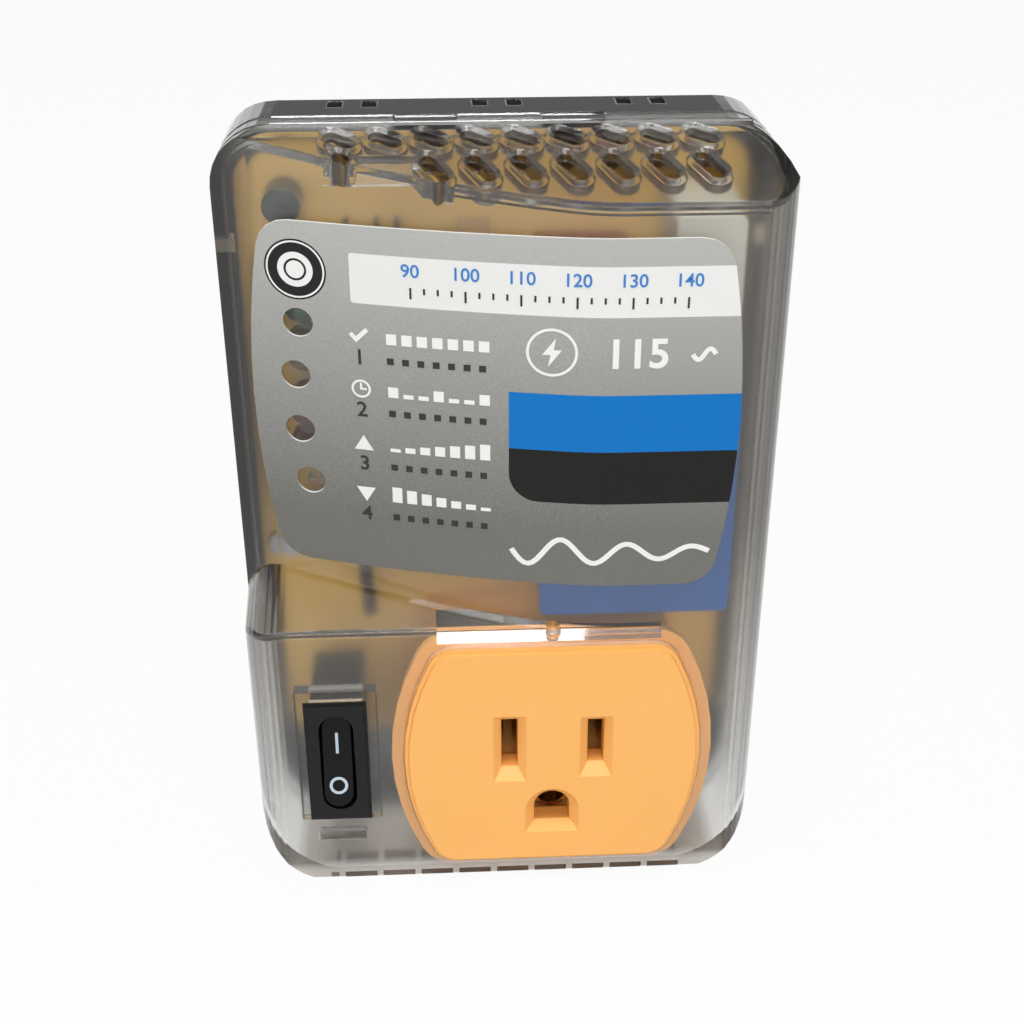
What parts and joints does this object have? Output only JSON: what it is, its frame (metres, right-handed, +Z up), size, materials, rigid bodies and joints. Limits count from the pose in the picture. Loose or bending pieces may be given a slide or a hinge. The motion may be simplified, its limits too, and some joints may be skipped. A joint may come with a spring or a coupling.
{
  "type": "appliance voltage protector",
  "caption": "Plug-in voltage protector with a smoky clear housing, an orange outlet, a rocker switch, status lamps behind a crowned label and a blade plug on its back.",
  "frame": {"origin": "midway between the two plug blades, on the flat back face that lies on the wall", "axes": "+Z up along the housing, +Y along the plug blades into the wall, +X to the right seen from the front"},
  "size_m": [0.075, 0.0514, 0.113],
  "materials": {
    "smoky_cover": "smoky clear polycarbonate, lightly frosted inside",
    "dark_cover": "dark smoky polycarbonate",
    "label": "silver-grey brushed film plate",
    "outlet_plastic": "satin orange nylon",
    "black_plastic": "moulded black",
    "rocker_plastic": "satin black with pale marks",
    "brass": "stamped brass",
    "steel": "zinc plated",
    "board": "tan phenolic laminate",
    "relay_blue": "blue relay case",
    "lamp_green": "tinted epoxy",
    "lamp_yellow": "tinted epoxy",
    "lamp_red": "tinted epoxy",
    "grey_plastic": "grey capacitor case",
    "red_plastic": "dipped red-brown film capacitor",
    "can_green": "dark green sleeve",
    "can_blue": "dark blue sleeve",
    "blue_ceramic": "blue coated ceramic disc",
    "resistor_body": "tan lacquered resistor",
    "fuse_glass": "glass fuse",
    "tinned_metal": "tinned spring metal",
    "wire_sleeve": "insulated wire"
  },
  "bodies": {
    "housing": {"front_cover": "smoky_cover", "back_cover": "dark_cover", "label_plate": "label", "outlet_body": "outlet_plastic", "outlet_back": "outlet_plastic", "contact_line": "brass", "contact_neutral": "brass", "contact_ground": "brass", "switch_housing": "black_plastic", "switch_common": "brass", "switch_output": "brass", "circuit_board": "board", "relay_case": "relay_blue", "relay_base": "black_plastic", "lamp_normal": "lamp_green", "lamp_delay": "lamp_yellow", "lamp_high": "lamp_red", "lamp_low": "lamp_red", "filter_capacitor": "grey_plastic", "dropper_capacitor": "red_plastic", "storage_capacitor": "can_green", "smoothing_capacitor": "can_blue", "varistor": "blue_ceramic", "control_chip": "black_plastic", "resistors": "resistor_body", "diodes": "black_plastic", "fuse": "fuse_glass", "fuse_clips": "tinned_metal", "jumper_wire": "wire_sleeve", "plug_block": "black_plastic", "blade_line": "brass", "blade_neutral": "brass", "ground_pin": "brass", "board_screw_1": "steel", "board_screw_2": "steel"},
    "rocker": {"switch_rocker": "rocker_plastic", "switch_plunger": "steel"},
    "arm": {"switch_arm": "brass"}
  },
  "joints": [
    {"name": "rocker_hinge", "type": "hinge", "parent": "housing", "child": "rocker", "pos_m": [-0.0248, -0.026, -0.0506], "axis": [1, 0, 0], "range_deg": [0, 22]},
    {"name": "arm_hinge", "type": "hinge", "parent": "housing", "child": "arm", "pos_m": [-0.0248, -0.0188, -0.0506], "axis": [1, 0, 0], "range_deg": [-16, 0]}
  ],
  "couplings": [
    {"joint": "arm_hinge", "follows": "rocker_hinge", "ratio": -0.727}
  ]
}
